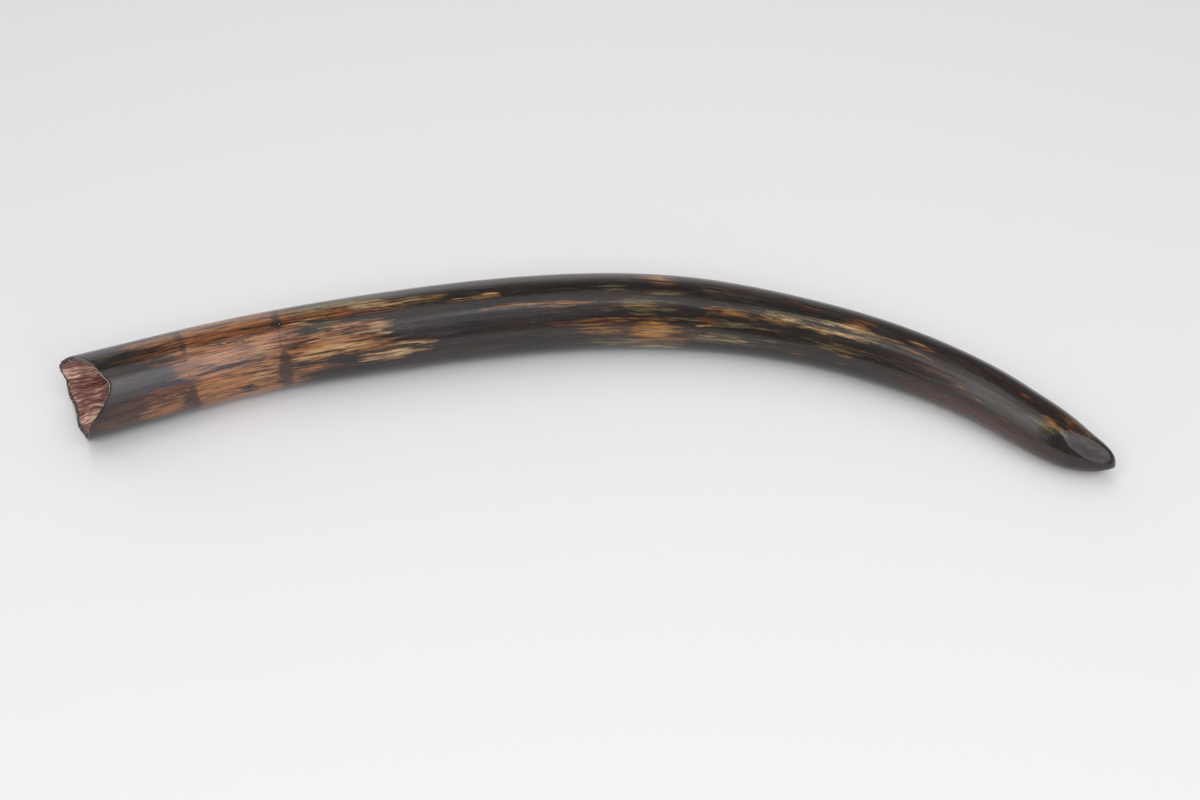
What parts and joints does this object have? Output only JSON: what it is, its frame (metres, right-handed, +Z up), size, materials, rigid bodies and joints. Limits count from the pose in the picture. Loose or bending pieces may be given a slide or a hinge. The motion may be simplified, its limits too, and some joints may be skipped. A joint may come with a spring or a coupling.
{
  "type": "mammoth tusk",
  "caption": "Curved, polished mammoth tusk lying on its side, with a broken rim round its open pulp cavity and a worn tip.",
  "frame": {"origin": "On the ground, under the middle of the tusk's bounding box as it lies on its side.", "axes": "+X runs along the chord from the broken base to the tip, +Z is up, and +Y points to the outside of the bend."},
  "size_m": [1.0326, 0.2418, 0.0841],
  "materials": {
    "ivory": "satin, polished mammoth ivory, stained black-brown with amber and cream streaks along its length"
  },
  "bodies": {
    "root": {"tusk": "ivory"}
  },
  "joints": []
}
